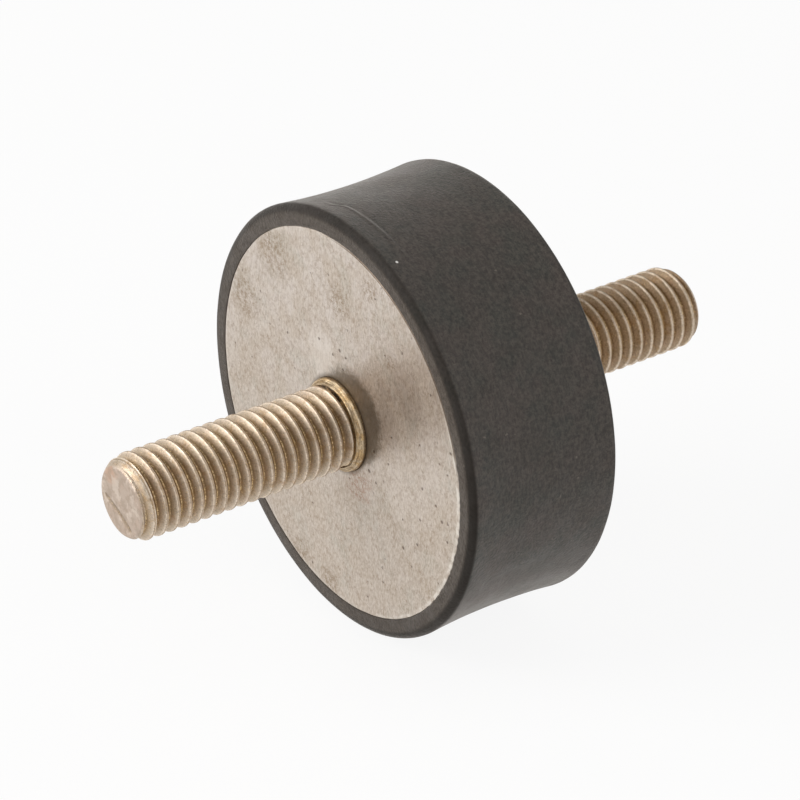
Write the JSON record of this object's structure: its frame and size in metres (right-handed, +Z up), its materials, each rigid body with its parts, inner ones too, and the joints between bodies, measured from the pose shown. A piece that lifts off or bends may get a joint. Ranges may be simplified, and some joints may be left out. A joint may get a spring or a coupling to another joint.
{
  "type": "bobbin vibration mount",
  "caption": "Round rubber vibration mount with a flush steel plate bonded into each end and a threaded steel stud standing out of each plate.",
  "frame": {"origin": "middle of the rubber body, on the mount's axis", "axes": "+Y along the mount's axis towards the rear stud, the front stud points towards -Y, +Z up as the mount lies on its rubber rim"},
  "size_m": [0.05, 0.0754, 0.05],
  "materials": {
    "rubber": "matt moulded rubber",
    "plate_steel": "brushed mild steel with light pits and stains",
    "stud_steel": "yellow zinc plate, darker in the thread roots"
  },
  "bodies": {
    "root": {"rubber_body": "rubber", "front_plate": "plate_steel", "rear_plate": "plate_steel", "front_stud": "stud_steel", "rear_stud": "stud_steel"}
  },
  "joints": []
}
